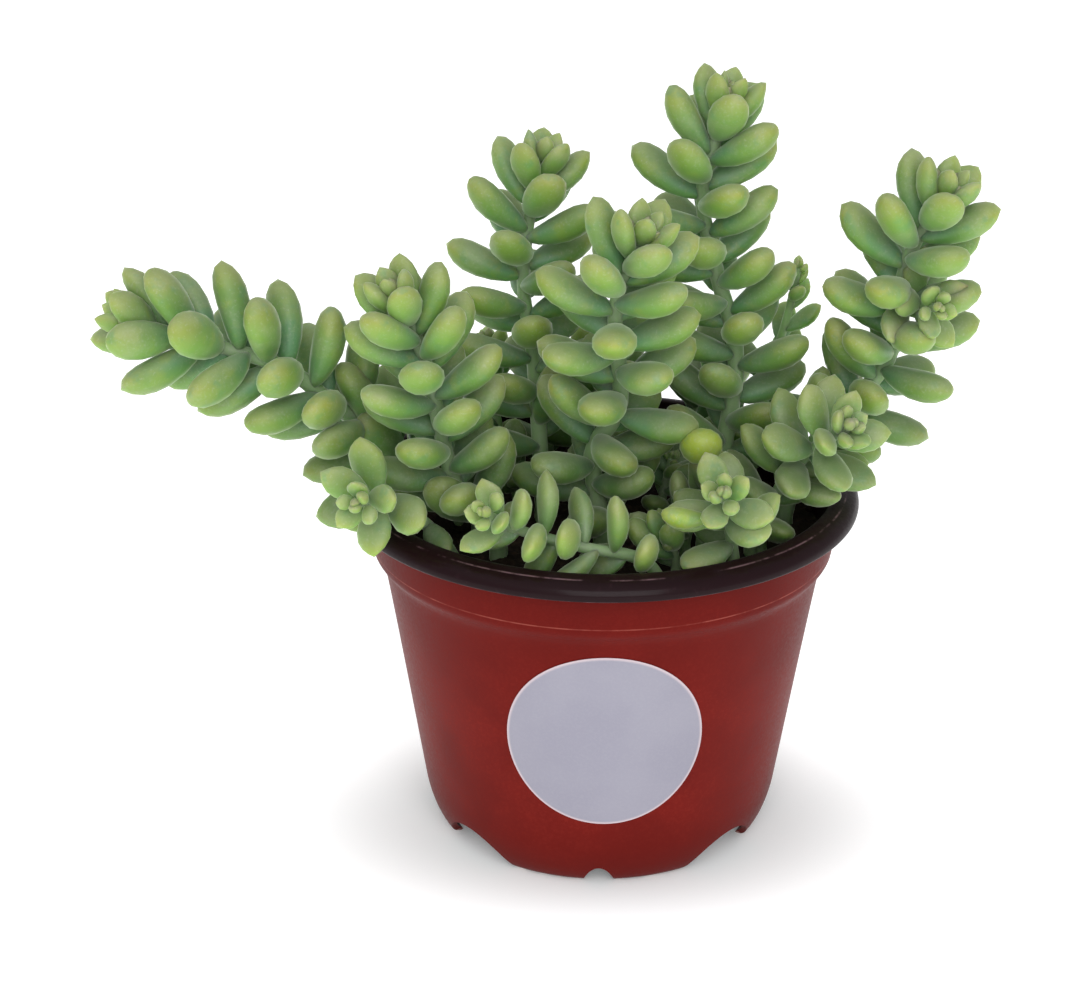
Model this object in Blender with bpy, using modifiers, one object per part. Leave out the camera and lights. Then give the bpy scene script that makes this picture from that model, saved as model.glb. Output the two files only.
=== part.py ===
# Potted burro's tail: a young trailing sedum in a thin nursery pot with a bare paper label.
# Metres, +Z up, with the pot's front facing -Y. The origin is on the floor under the middle
# of the whole plant, which hangs out further on the left.
# Lengths in the tables below are millimetres from the centre of the pot's foot, and mm()
# turns them into metres. The last step moves everything from there to the origin.

import math

import bmesh
import bpy
from mathutils import Matrix, Vector

MM = 0.001
GAP = 0.3            # between touching pieces

# pot
LIP_RADIUS = 50.0
POT_HEIGHT = 71.9
COLLAR_RADIUS = 45.9
COLLAR_FOOT_Z = 59.5
BODY_TOP_RADIUS = 42.9
BODY_TOP_Z = 56.4
BODY_FOOT_RADIUS = 35.4
BODY_FOOT_Z = 8.8
FOOT_RADIUS = 30.8
WALL = 0.95
BASE_UNDERSIDE_Z = 7.3
BASE_THICKNESS = 1.1
POT_STEPS = 28
SCALLOP_TURN = 48.0          # degrees from the front and from the back
SCALLOP_WIDTH = 18.6
SCALLOP_HEIGHT = 7.0
NOTCH_WIDTH = 6.0
NOTCH_HEIGHT = 4.2
DRAIN_RADIUS = 3.5
DRAIN_CIRCLE = 19.0
DRAIN_COUNT = 6

# label
LABEL_RADIUS = 19.1
LABEL_X = 0.9
LABEL_Z = 34.7
LABEL_THICKNESS = 0.25
LABEL_STRIPS = 8

# soil and the holes that the stems stand in
SOIL_TOP = 61.0
HOLE_FLOOR = 50.0
MOUTH_Z = 62.0               # stems are straight from the hole's floor to here
HOLE_CLEARANCE = 0.35

# leaves
GOLDEN_ANGLE = 137.5
LEAF_WIDTH = 0.53            # of the leaf's length, full-grown
YOUNG_WIDTH = 0.64
LEAF_THICKNESS = 0.42
YOUNG_THICKNESS = 0.42
FLAT_TOP = 0.84              # of the leaf's upper half, full-grown
YOUNG_FLAT_TOP = 0.66
NARROW_ROOT = 0.76
FULL_TIP = 0.36
BLUNT_POINT = 0.12           # how far the tip narrows to a point, full-grown
YOUNG_POINT = 0.42
LEAF_SIDES = 5
FACET_SWELL = 1.10           # the few sides stand as far out as the round leaf does
LEAF_BEND = 0.11
TIP_CROWDING = 12.0          # leaves over which the spacing opens out from the tip
FIRST_LEAF = 6               # the six before it are too small to tell from the bud
GROWN_AFTER = 15.0           # leaves from the tip to the first full-grown one
OPEN_AFTER = 19.0            # leaves from the tip to the first that stands fully out
OPEN_LATE = 1.1
TIP_LENGTH = 0.20            # of the full-grown length
TIP_TILT = 12.0              # degrees from the stem
SHARP_ANGLE = 60.0
CLEAR_OF_OTHERS = 0.3        # between the leaves of two stems
CLEAR_OF_WALL = 0.8          # from the middle of the lip to its skin, with a little to spare

# One entry for each shoot. path: stem centre from the bottom of its hole to the tip.
# leaf: full-grown length. spacing: stem between two full-grown leaves. turn: phase and hand
# of the spiral. tilt: full-grown leaves from the stem. lift: how far leaves turn upwards.
# bare: leafless stem above the soil. radius: of the stem at its foot. broad: how much wider
# than the others its leaves are. grown and open: its own GROWN_AFTER and OPEN_AFTER. ripe: how
# far its leaves take a grown leaf's form.
SHOOTS = {
    "stem_middle": {
        "path": [(0, -6, 50), (0, -6, 62), (-2, -8, 80), (3, -11, 92), (2, -16, 113), (7, -20, 128)],
        "leaf": 17.0, "spacing": 2.25, "turn": (315, -1), "tilt": 83, "lift": 0.12, "bare": 4,
        "radius": 2.0},
    "stem_left_front": {
        "path": [(-20, -12, 50), (-20, -12, 62), (-28, -16, 77), (-33, -20, 103), (-38, -24, 117.5)],
        "leaf": 16.6, "spacing": 2.28, "turn": (176, -1), "tilt": 72, "lift": 0.12, "bare": 3,
        "radius": 1.9},
    "stem_back_middle": {
        "path": [(22, 10, 50), (22, 10, 62), (26, 12, 91), (21.5, 12, 111), (18.5, 11, 127), (23, 10, 146)],
        "leaf": 16.8, "spacing": 2.38, "turn": (155, 1), "tilt": 80, "lift": 0.15, "bare": 11,
        "radius": 2.0},
    "stem_back_left": {
        "path": [(-12, 10, 50), (-12, 10, 62), (-14, 13, 92), (-16, 15, 106), (-15, 16, 119),
                 (-12, 16, 132.5)],
        "leaf": 16.4, "spacing": 2.41, "turn": (255, 1), "tilt": 83, "lift": 0.12, "bare": 11,
        "radius": 1.8},
    "stem_right": {
        "path": [(36, 6, 50), (36, 6, 62), (42, 8, 77), (55, 6, 95), (57, 0, 117), (63.5, -4, 132.5)],
        "leaf": 17.0, "spacing": 2.35, "turn": (303, -1), "tilt": 80, "lift": 0.12, "bare": 15,
        "radius": 2.0,
        "branch": {"path": [(54, 4, 105), (57, 1, 108), (60, -4, 109.5), (62, -10, 111)],
                   "leaf": 11.5, "spacing": 2.8, "turn": (0, 1), "tilt": 80, "lift": 0.0, "bare": 3,
                   "radius": 1.3, "broad": 1.1, "grown": 12, "open": 11, "ripe": 0.5}},
    "stem_left_trailing": {
        "path": [(-24, 1, 50), (-24, 1, 62), (-36, -3, 75), (-51, -8, 89.5), (-62, -11, 99),
                 (-82, -13, 105.5), (-88.5, -14, 109)],
        "leaf": 17.4, "spacing": 2.3, "turn": (68, -1), "tilt": 70, "lift": 0.14, "bare": 16,
        "radius": 2.0},
    "stem_right_front": {
        "path": [(29, -8, 50), (29, -8, 62), (33, -9, 72), (38.5, -14, 83), (45, -25, 93)],
        "leaf": 14.0, "spacing": 2.4, "turn": (38, 1), "tilt": 80, "lift": 0.05, "bare": 4, "radius": 1.6,
        "broad": 1.1, "grown": 14, "open": 14, "ripe": 0.6},
    "shoot_front_right": {
        "path": [(25, -27, 50), (25, -27, 62), (24, -28, 71), (22.5, -32, 79), (21.5, -39, 85)],
        "leaf": 13.0, "spacing": 2.9, "turn": (80, -1), "tilt": 86, "lift": 0.0, "bare": 6, "radius": 1.4,
        "broad": 1.12, "grown": 12, "open": 11, "ripe": 0.5},
    "shoot_front_left": {
        "path": [(11, -30, 50), (11, -30, 63), (7, -32, 69), (-3, -34, 72), (-12, -34.5, 74.5),
                 (-18, -37, 78), (-21, -43, 82.5)],
        "leaf": 12.5, "spacing": 3.8, "turn": (140, 1), "tilt": 84, "lift": 0.1, "bare": 8, "radius": 1.4,
        "broad": 1.12, "grown": 12, "open": 11, "ripe": 0.5},
    "shoot_far_left": {
        "path": [(-28, -19, 50), (-28, -19, 62), (-34, -22, 72), (-41, -27, 78.5), (-44.2, -37.5, 82)],
        "leaf": 13.5, "spacing": 3.0, "turn": (45, 1), "tilt": 86, "lift": 0.0, "bare": 7, "radius": 1.5,
        "broad": 1.14, "grown": 12, "open": 11, "ripe": 0.5},
    "shoot_front_middle": {
        "path": [(14, -23, 50), (14, -23, 62), (13, -26, 71)],
        "leaf": 13.0, "spacing": 2.0, "turn": (15, 1), "tilt": 62, "lift": 0.1, "bare": 1, "radius": 1.2,
        "grown": 10, "open": 12},
    "shoot_inner": {
        "path": [(16, -9, 50), (16, -9, 62), (18, -12, 72), (19, -15, 79)],
        "leaf": 12.5, "spacing": 2.8, "turn": (70, 1), "tilt": 60, "lift": 0.1, "bare": 1, "radius": 1.3,
        "broad": 1.2, "grown": 10, "open": 12},
    "shoot_behind_right": {
        "path": [(30, 21, 50), (30, 21, 62), (33, 22, 84), (36, 20, 98), (38, 17, 110)],
        "leaf": 12.0, "spacing": 4.6, "turn": (0, 1), "tilt": 74, "lift": 0.1, "bare": 12, "radius": 1.2,
        "grown": 16, "open": 14},
    "shoot_back_left": {
        "path": [(-20, 27, 50), (-20, 27, 62), (-23, 33, 75), (-24, 38, 87)],
        "leaf": 14.5, "spacing": 4.2, "turn": (25, -1), "tilt": 78, "lift": 0.1, "bare": 7, "radius": 1.5,
        "grown": 12, "open": 14},
    "shoot_back_middle": {
        "path": [(0, 28, 50), (0, 28, 62), (-1, 34, 76), (-2, 40, 91)],
        "leaf": 15.5, "spacing": 4.2, "turn": (50, 1), "tilt": 80, "lift": 0.1, "bare": 7, "radius": 1.6,
        "grown": 12, "open": 14},
    "shoot_back_right": {
        "path": [(18, 29, 50), (18, 29, 62), (20, 35, 75), (24, 42, 84)],
        "leaf": 14.5, "spacing": 4.2, "turn": (95, -1), "tilt": 78, "lift": 0.1, "bare": 7, "radius": 1.6,
        "grown": 12, "open": 14},
}


def mm(*values):
    return Vector([value * MM for value in values])


# ---------------------------------------------------------------- scene and helpers

def clear_scene():
    for ob in list(bpy.data.objects):
        bpy.data.objects.remove(ob, do_unlink=True)


def new_collection(name):
    made = bpy.data.collections.new(name)
    bpy.context.scene.collection.children.link(made)
    return made


def make_material(name, colour, roughness):
    made = bpy.data.materials.new(name)
    made.use_nodes = True
    shader = made.node_tree.nodes["Principled BSDF"]
    shader.inputs["Base Color"].default_value = (*colour, 1.0)
    shader.inputs["Roughness"].default_value = roughness
    shader.inputs["Metallic"].default_value = 0.0
    return made


def add_object(name, data, collection, material=None):
    ob = bpy.data.objects.new(name, data)
    collection.objects.link(ob)
    if material:
        data.materials.append(material)
    return ob


def to_object(name, bm, collection, material=None):
    mesh = bpy.data.meshes.new(name)
    bm.to_mesh(mesh)
    bm.free()
    return add_object(name, mesh, collection, material)


def evaluated_mesh(ob):
    bpy.context.view_layer.update()
    graph = bpy.context.evaluated_depsgraph_get()
    return bpy.data.meshes.new_from_object(ob.evaluated_get(graph))


def turned(name, profile, edges, steps, collection, material):
    """A solid turned about Z from a section that runs down its outer side, top to bottom."""
    mesh = bpy.data.meshes.new(name)
    mesh.from_pydata([mm(r, 0, z) for r, z in profile], edges, [])
    ob = add_object(name, mesh, collection, material)
    screw = ob.modifiers.new("turn", "SCREW")
    screw.steps = steps
    screw.render_steps = steps
    screw.use_merge_vertices = True
    screw.use_smooth_shade = True
    screw.merge_threshold = 0.00001
    return ob


def cut(ob, cutter):
    boolean = ob.modifiers.new(cutter.name, "BOOLEAN")
    boolean.operation = "DIFFERENCE"
    boolean.solver = "EXACT"
    boolean.object = cutter
    cutter.hide_render = True
    cutter.display_type = "WIRE"


def cylinder_cutter(name, x, y, low, high, radius, sides, collection):
    bm = bmesh.new()
    bmesh.ops.create_cone(
        bm, cap_ends=True, segments=sides, radius1=radius * MM, radius2=radius * MM,
        depth=(high - low) * MM, matrix=Matrix.Translation(mm(x, y, (low + high) / 2)))
    return to_object(name, bm, collection)


def arch_cutter(name, outline, turn, reach, collection):
    """A bar with an arched section that passes through both sides of the foot ring."""
    curve = bpy.data.curves.new(name, "CURVE")
    curve.dimensions = "2D"
    curve.fill_mode = "BOTH"
    curve.extrude = reach * MM
    spline = curve.splines.new("POLY")
    spline.points.add(len(outline) - 1)
    spline.use_cyclic_u = True
    for point, (x, z) in zip(spline.points, outline):
        point.co = (x * MM, z * MM, 0, 1)
    guide = add_object(name + "_outline", curve, collection)
    mesh = evaluated_mesh(guide)
    bpy.data.objects.remove(guide)
    stand_up = Matrix.Rotation(math.radians(turn), 4, "Z") @ Matrix.Rotation(math.radians(90), 4, "X")
    mesh.transform(stand_up)
    bm = bmesh.new()
    bm.from_mesh(mesh)
    bmesh.ops.remove_doubles(bm, verts=bm.verts, dist=0.00001)
    bmesh.ops.recalc_face_normals(bm, faces=bm.faces)
    return to_object(name, bm, collection)


def arch(width, height, below=2.0, steps=8):
    """Outline of an arch with slightly leaning sides, that starts below the floor."""
    rise = [math.pi * i / steps for i in range(steps + 1)]
    over = [(width / 2 * math.cos(a), height * math.sin(a) ** 1.4) for a in rise]
    return [(width / 2, -below)] + over + [(-width / 2, -below)]


# ---------------------------------------------------------------- pot, label and soil

def body_radius(z):
    """Outside of the pot's tapering body at height z."""
    slope = (BODY_TOP_RADIUS - BODY_FOOT_RADIUS) / (BODY_TOP_Z - BODY_FOOT_Z)
    return BODY_FOOT_RADIUS + (z - BODY_FOOT_Z) * slope


def pot_profile():
    """The wall's section: down the outside, across under the base, back over it and up."""
    top = POT_HEIGHT
    base_top = BASE_UNDERSIDE_Z + BASE_THICKNESS
    lip = [(44.6, top), (47.6, top - 0.6), (49.4, top - 1.5), (LIP_RADIUS, top - 2.6),
           (LIP_RADIUS - 0.1, top - 3.6), (LIP_RADIUS - 1.0, top - 3.6), (LIP_RADIUS - 1.2, top - 2.6)]
    outside = [
        (COLLAR_RADIUS, top - 1.7), (COLLAR_RADIUS - 0.1, top - 3.6), (COLLAR_RADIUS - 0.7, COLLAR_FOOT_Z),
        (BODY_TOP_RADIUS + 0.9, COLLAR_FOOT_Z - 2.2), (BODY_TOP_RADIUS, BODY_TOP_Z),
        (BODY_FOOT_RADIUS, BODY_FOOT_Z), (BODY_FOOT_RADIUS - 0.7, BODY_FOOT_Z - 0.7),
        (FOOT_RADIUS + 3.3, 4.0), (FOOT_RADIUS + 2.2, 1.6), (FOOT_RADIUS + 1.1, 0.5), (FOOT_RADIUS, 0.0)]
    below = [
        (FOOT_RADIUS - 1.1, 0.0), (FOOT_RADIUS + 0.9, 1.8), (FOOT_RADIUS + 2.1, 4.2),
        (FOOT_RADIUS + 2.5, BASE_UNDERSIDE_Z), (0.0, BASE_UNDERSIDE_Z)]
    inside = [
        (0.0, base_top), (FOOT_RADIUS + 2.9, base_top), (BODY_FOOT_RADIUS - WALL, BODY_FOOT_Z + 0.8),
        (BODY_TOP_RADIUS - WALL, BODY_TOP_Z + 0.2), (BODY_TOP_RADIUS - 0.2, COLLAR_FOOT_Z - 1.9),
        (COLLAR_RADIUS - 0.7 - WALL, COLLAR_FOOT_Z + 0.3), (COLLAR_RADIUS - 1.2, top - 2.0),
        (44.2, top - 0.4)]
    return lip + outside + below, inside


def make_pot(parts, cutters):
    down, up = pot_profile()
    points = down + up
    edges = [(i, i + 1) for i in range(len(points) - 1) if i != len(down) - 1]
    edges.append((len(points) - 1, 0))
    red = make_material("pot_red", (0.16, 0.018, 0.014), 0.45)
    pot = turned("pot", points, edges, POT_STEPS, parts, red)
    reach = LIP_RADIUS
    for turn in (SCALLOP_TURN, -SCALLOP_TURN):
        outline = arch(SCALLOP_WIDTH, SCALLOP_HEIGHT)
        cut(pot, arch_cutter(f"scallop_{turn:.0f}", outline, turn, reach, cutters))
    for turn in (0, 90):
        outline = arch(NOTCH_WIDTH, NOTCH_HEIGHT)
        cut(pot, arch_cutter(f"notch_{turn}", outline, turn, reach, cutters))
    for i in range(DRAIN_COUNT):
        around = math.radians(360 * i / DRAIN_COUNT + 30)
        x = DRAIN_CIRCLE * math.cos(around)
        y = DRAIN_CIRCLE * math.sin(around)
        cut(pot, cylinder_cutter(f"drain_{i}", x, y, 6, 10, DRAIN_RADIUS, 10, cutters))
    return pot


def make_label(parts):
    """A disc cut into strips, wrapped round the cone of the pot's body and given a thickness."""
    bm = bmesh.new()
    bmesh.ops.create_circle(bm, cap_ends=True, segments=28, radius=LABEL_RADIUS * MM)
    for i in range(1, LABEL_STRIPS):
        x = LABEL_RADIUS * (2 * i / LABEL_STRIPS - 1)
        bmesh.ops.bisect_plane(
            bm, geom=bm.verts[:] + bm.edges[:] + bm.faces[:],
            plane_co=mm(x, 0, 0), plane_no=(1, 0, 0), dist=0.00001)
    for vert in bm.verts:
        z = LABEL_Z + vert.co.y / MM
        radius = body_radius(z) + GAP
        around = (LABEL_X + vert.co.x / MM) / radius
        vert.co = mm(radius * math.sin(around), -radius * math.cos(around), z)
    bmesh.ops.recalc_face_normals(bm, faces=bm.faces)
    paper = make_material("label_paper", (0.40, 0.40, 0.48), 0.6)
    label = to_object("label", bm, parts, paper)
    if label.data.polygons[0].normal.y > 0:
        label.data.flip_normals()
    solidify = label.modifiers.new("thickness", "SOLIDIFY")
    solidify.thickness = LABEL_THICKNESS * MM
    solidify.offset = 1
    return label


def make_soil(parts, cutters):
    fit = WALL + GAP + 0.15
    floor = BASE_UNDERSIDE_Z + BASE_THICKNESS + GAP + 0.1
    rim = COLLAR_RADIUS - 0.7 - fit - 0.3
    profile = [
        (0.0, SOIL_TOP), (rim, SOIL_TOP), (rim, COLLAR_FOOT_Z + 1.2),
        (BODY_TOP_RADIUS - 0.8, COLLAR_FOOT_Z - 1.6), (BODY_TOP_RADIUS - fit, BODY_TOP_Z),
        (BODY_FOOT_RADIUS - fit, BODY_FOOT_Z + 1.3), (33.2, floor), (0.0, floor)]
    edges = [(i, i + 1) for i in range(len(profile) - 1)]
    peat = make_material("soil_peat", (0.02, 0.014, 0.010), 0.95)
    soil = turned("soil", profile, edges, POT_STEPS, parts, peat)
    for name, shoot in SHOOTS.items():
        x, y, _ = shoot["path"][0]
        radius = shoot["radius"] + HOLE_CLEARANCE
        low = HOLE_FLOOR - GAP
        cut(soil, cylinder_cutter(name + "_hole", x, y, low, SOIL_TOP + 3, radius, 6, cutters))
    return soil


# ---------------------------------------------------------------- stems

def smooth_path(points, per_span=6):
    """Straight up out of the hole, then a smooth curve through the other points."""
    points = [Vector(p) for p in points]
    foot, mouth = points[:2]
    points = points[1:]
    start = mouth - (mouth - foot).normalized() * (points[1] - mouth).length
    padded = [start] + points + [2 * points[-1] - points[-2]]
    path = [foot]
    for i in range(len(points) - 1):
        a, b, c, d = padded[i:i + 4]
        for step in range(per_span):
            t = step / per_span
            path.append(0.5 * (2 * b + (c - a) * t + (2 * a - 5 * b + 4 * c - d) * t * t
                               + (3 * b - a - 3 * c + d) * t * t * t))
    path.append(points[-1])
    return path


class Stem:
    """A stem's centre line with a frame carried along it without twist."""

    def __init__(self, shoot):
        self.points = smooth_path(shoot["path"])
        self.radius = shoot["radius"]
        self.along = [0.0]
        for a, b in zip(self.points, self.points[1:]):
            self.along.append(self.along[-1] + (b - a).length)
        self.length = self.along[-1]
        self.tangents = []
        for i in range(len(self.points)):
            ahead = self.points[min(i + 1, len(self.points) - 1)]
            behind = self.points[max(i - 1, 0)]
            self.tangents.append((ahead - behind).normalized())
        side = self.tangents[0].orthogonal().normalized()
        self.sides = []
        for tangent in self.tangents:
            side = (side - tangent * side.dot(tangent)).normalized()
            self.sides.append(side)

    def at(self, distance):
        """Centre, direction and side at a distance from the foot."""
        distance = min(max(distance, 0.0), self.length)
        i = 0
        while i < len(self.along) - 2 and self.along[i + 1] < distance:
            i += 1
        t = (distance - self.along[i]) / (self.along[i + 1] - self.along[i])
        centre = self.points[i].lerp(self.points[i + 1], t)
        tangent = self.tangents[i].lerp(self.tangents[i + 1], t).normalized()
        side = self.sides[i].lerp(self.sides[i + 1], t)
        side = (side - tangent * side.dot(tangent)).normalized()
        return centre, tangent, side

    def radius_at(self, distance):
        return self.radius * (1 - 0.4 * distance / self.length)

    def balls(self):
        return [(point, self.radius_at(s)) for point, s in zip(self.points, self.along)]

    def make_tube(self, name, collection):
        curve = bpy.data.curves.new(name, "CURVE")
        curve.dimensions = "3D"
        curve.bevel_depth = MM
        curve.bevel_resolution = 1
        curve.use_fill_caps = True
        spline = curve.splines.new("POLY")
        kept = [0] + list(range(1, len(self.points), 3))
        spline.points.add(len(kept) - 1)
        for point, i in zip(spline.points, kept):
            point.co = (*mm(*self.points[i]), 1)
            point.radius = self.radius_at(self.along[i])
        guide = add_object(name, curve, collection)
        mesh = evaluated_mesh(guide)
        bpy.data.objects.remove(guide)
        bm = bmesh.new()
        bm.from_mesh(mesh)
        bmesh.ops.remove_doubles(bm, verts=bm.verts, dist=0.00001)
        bmesh.ops.recalc_face_normals(bm, faces=bm.faces)
        return to_object(name, bm, collection)


# ---------------------------------------------------------------- leaves

def between(young, grown, age):
    return young + (grown - young) * age


class Leaf:
    """One fleshy leaf: where it grows, where it points, how long it is and how grown."""

    def __init__(self, root, out, up, length, age, broad):
        self.root = root
        self.out = out
        self.up = (up - out * up.dot(out)).normalized()
        self.length = length
        self.age = age
        self.half_width = broad * length / 2 * between(YOUNG_WIDTH, LEAF_WIDTH, age)
        self.half_thick = length / 2 * between(YOUNG_THICKNESS, LEAF_THICKNESS, age)

    def point(self, t):
        rise = LEAF_BEND * self.length * t * t
        return self.root + self.out * (self.length * t) + self.up * rise

    def balls(self):
        """Balls that hold the leaf's flesh, to measure how near others come."""
        sizes = ((0.2, 0.66), (0.35, 0.92), (0.5, 1.0), (0.66, 1.02), (0.8, 0.98), (0.92, 0.6))
        return [(self.point(t), self.half_width * size) for t, size in sizes]

    def make(self, name, collection):
        bm = bmesh.new()
        bmesh.ops.create_uvsphere(bm, u_segments=LEAF_SIDES, v_segments=3, radius=1.0)
        side = self.up.cross(self.out)
        flat_top = between(YOUNG_FLAT_TOP, FLAT_TOP, self.age)
        pointed = between(YOUNG_POINT, BLUNT_POINT, self.age)
        for vert in bm.verts:
            t = 0.5 - vert.co.z / 2
            t += 0.07 * math.sin(math.pi * t)
            girth = FACET_SWELL * (NARROW_ROOT + FULL_TIP * t) * (1 - pointed * t ** 5)
            across = vert.co.y * self.half_width * girth
            above = vert.co.x * self.half_thick * girth * (flat_top if vert.co.x > 0 else 1)
            vert.co = (self.point(t) + side * across + self.up * above) * MM
        bmesh.ops.recalc_face_normals(bm, faces=bm.faces)
        return to_object(name, bm, collection)


def wall_distance(ball, radius):
    """From a ball's skin to the pot's wall or lip, or to the soil's top."""
    out = math.hypot(ball.x, ball.y)
    here = Vector((out, ball.z))
    wall = COLLAR_RADIUS - WALL
    top = POT_HEIGHT - WALL
    corners = [Vector(p) for p in ((wall, COLLAR_FOOT_Z), (wall, top), (LIP_RADIUS - 0.6, top - 1.0),
                                   (LIP_RADIUS - 0.6, top - 2.2))]
    nearest = math.inf
    for start, end in zip(corners, corners[1:]):
        t = (here - start).dot(end - start) / (end - start).length_squared
        nearest = min(nearest, (here - start.lerp(end, min(max(t, 0), 1))).length)
    distance = nearest - CLEAR_OF_WALL
    if out < wall - 1:
        distance = min(distance, ball.z - SOIL_TOP)
    return distance - radius


def is_clear(leaf, name, taken):
    for ball, radius in leaf.balls():
        if wall_distance(ball, radius) < CLEAR_OF_OTHERS:
            return False
        for owner, other, other_radius in taken:
            if owner == name:
                continue
            apart = radius + other_radius + CLEAR_OF_OTHERS
            if abs(ball.x - other.x) < apart and (ball - other).length < apart:
                return False
    return True


def aim(tangent, side, around, tilt, lift):
    """Direction of a leaf that leaves the stem at tilt degrees, turned a little upwards."""
    radial = Matrix.Rotation(math.radians(around), 3, tangent) @ side
    out = tangent * math.cos(math.radians(tilt)) + radial * math.sin(math.radians(tilt))
    return (out + Vector((0, 0, lift))).normalized()


def place_leaf(name, place, around, tilt, lift, length, age, broad, taken):
    """The leaf where its spiral puts it, or bent aside or shortened until it is clear."""
    centre, tangent, side = place
    for shorter in (1.0, 0.87, 0.74):
        for tilt_step in (0, -14, 14, -28, 24, -42):
            for turn_step in (0, 16, -16, 32, -32):
                out = aim(tangent, side, around + turn_step, tilt + tilt_step, lift)
                leaf = Leaf(centre, out, tangent, length * shorter, age, broad)
                if is_clear(leaf, name, taken):
                    return leaf
    return None


def ease(t):
    t = min(t, 1.0)
    return t * t * (3 - 2 * t)


def tip_to_leaf(k, spacing):
    return spacing * (k - TIP_CROWDING * (1 - math.exp(-k / TIP_CROWDING)))


def grow_leaves(name, shoot, stem, foot, taken):
    """Leaves in a spiral from the tip down. One in the way of another stem bends clear."""
    leaves = []
    phase, hand = shoot["turn"]
    grown_after = shoot.get("grown", GROWN_AFTER)
    open_after = shoot.get("open", OPEN_AFTER)
    broad = shoot.get("broad", 1.0)
    ripe = shoot.get("ripe", 1.0)
    k = FIRST_LEAF
    while stem.length - tip_to_leaf(k, shoot["spacing"]) >= foot + shoot["bare"]:
        age = ease(k / grown_after)
        length = shoot["leaf"] * (TIP_LENGTH + (1 - TIP_LENGTH) * age)
        tilt = between(TIP_TILT, shoot["tilt"], min(k / open_after, 1.0) ** OPEN_LATE)
        place = stem.at(stem.length - tip_to_leaf(k, shoot["spacing"]))
        around = phase + hand * GOLDEN_ANGLE * k
        leaf = place_leaf(name, place, around, tilt, shoot["lift"], length, age * ripe, broad, taken)
        if leaf:
            leaves.append(leaf)
            taken += [(name, ball, radius) for ball, radius in leaf.balls()]
        k += 1
    return leaves


def keep_largest_body(mesh):
    """Drops scraps and sealed hollows, which share no edge with the main body."""
    bm = bmesh.new()
    bm.from_mesh(mesh)
    bmesh.ops.triangulate(bm, faces=bm.faces)
    unseen = set(bm.faces)
    bodies = []
    while unseen:
        body = [unseen.pop()]
        for face in body:
            for edge in face.edges:
                for other in edge.link_faces:
                    if other in unseen:
                        unseen.discard(other)
                        body.append(other)
        bodies.append(body)
    bodies.sort(key=len)
    for body in bodies[:-1]:
        bmesh.ops.delete(bm, geom=body, context="FACES")
    bm.to_mesh(mesh)
    bm.free()


def fuse(name, pieces, parts, scratch, material):
    """One solid from a stem and its leaves, by a Boolean union on a collection."""
    trunk = pieces[0]
    union = trunk.modifiers.new("union", "BOOLEAN")
    union.operation = "UNION"
    union.operand_type = "COLLECTION"
    union.collection = scratch
    union.solver = "EXACT"
    mesh = evaluated_mesh(trunk)
    mesh.name = name
    keep_largest_body(mesh)
    mesh.shade_smooth()
    mesh.set_sharp_from_angle(angle=math.radians(SHARP_ANGLE))
    for piece in pieces:
        bpy.data.objects.remove(piece, do_unlink=True)
    return add_object(name, mesh, parts, material)


def make_shoots(parts):
    green = make_material("leaf_green", (0.17, 0.27, 0.09), 0.5)
    whole = {}
    taken = []
    for name, shoot in SHOOTS.items():
        whole[name] = [(shoot, Stem(shoot))]
        if "branch" in shoot:
            whole[name].append((shoot["branch"], Stem(shoot["branch"])))
        for _, stem in whole[name]:
            taken += [(name, ball, radius) for ball, radius in stem.balls()]
    for name, limbs in whole.items():
        scratch = new_collection(name + "_pieces")
        trunk = limbs[0][1].make_tube(name + "_stem", parts)
        pieces = [trunk]
        for number, (shoot, stem) in enumerate(limbs):
            if number:
                pieces.append(stem.make_tube(f"{name}_branch", scratch))
            foot = 0 if number else MOUTH_Z - HOLE_FLOOR
            for k, leaf in enumerate(grow_leaves(name, shoot, stem, foot, taken)):
                pieces.append(leaf.make(f"{name}_{number}_leaf_{k}", scratch))
        fuse(name, pieces, parts, scratch, green)
        bpy.data.collections.remove(scratch)


def move_to_origin(parts, cutters):
    """Hangs everything on one empty, which stands the whole plant's box over the origin."""
    foot_centre = bpy.data.objects.new("foot_centre", None)
    bpy.context.scene.collection.objects.link(foot_centre)
    bpy.context.view_layer.update()
    graph = bpy.context.evaluated_depsgraph_get()
    corners = [Vector(corner) for ob in parts.objects for corner in ob.evaluated_get(graph).bound_box]
    for ob in list(parts.objects) + list(cutters.objects):
        ob.parent = foot_centre
    for axis in (0, 1):
        across = [corner[axis] for corner in corners]
        foot_centre.location[axis] = -round((min(across) + max(across)) / 2, 4)


def main():
    clear_scene()
    parts = new_collection("potted_burros_tail")
    cutters = new_collection("cutters")
    make_pot(parts, cutters)
    make_label(parts)
    make_soil(parts, cutters)
    make_shoots(parts)
    move_to_origin(parts, cutters)


main()
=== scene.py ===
import math
from itertools import product

import bmesh
import bpy
import numpy as np
from mathutils import Matrix, Vector, noise


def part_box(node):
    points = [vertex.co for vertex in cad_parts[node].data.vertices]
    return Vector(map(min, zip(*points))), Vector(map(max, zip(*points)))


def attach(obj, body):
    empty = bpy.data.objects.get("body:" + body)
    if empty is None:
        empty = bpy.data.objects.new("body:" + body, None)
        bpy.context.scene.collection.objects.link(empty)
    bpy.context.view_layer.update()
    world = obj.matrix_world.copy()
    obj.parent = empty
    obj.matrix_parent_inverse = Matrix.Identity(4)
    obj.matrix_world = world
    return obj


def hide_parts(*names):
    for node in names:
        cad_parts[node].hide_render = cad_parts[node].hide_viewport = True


# A potted burro's tail: fleshy leaves in spirals round trailing stems, peat, a thin two-tone
# nursery pot and a bare round paper label. Sizes in the dictionaries are millimetres from the
# middle of the pot's foot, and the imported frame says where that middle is.

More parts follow.
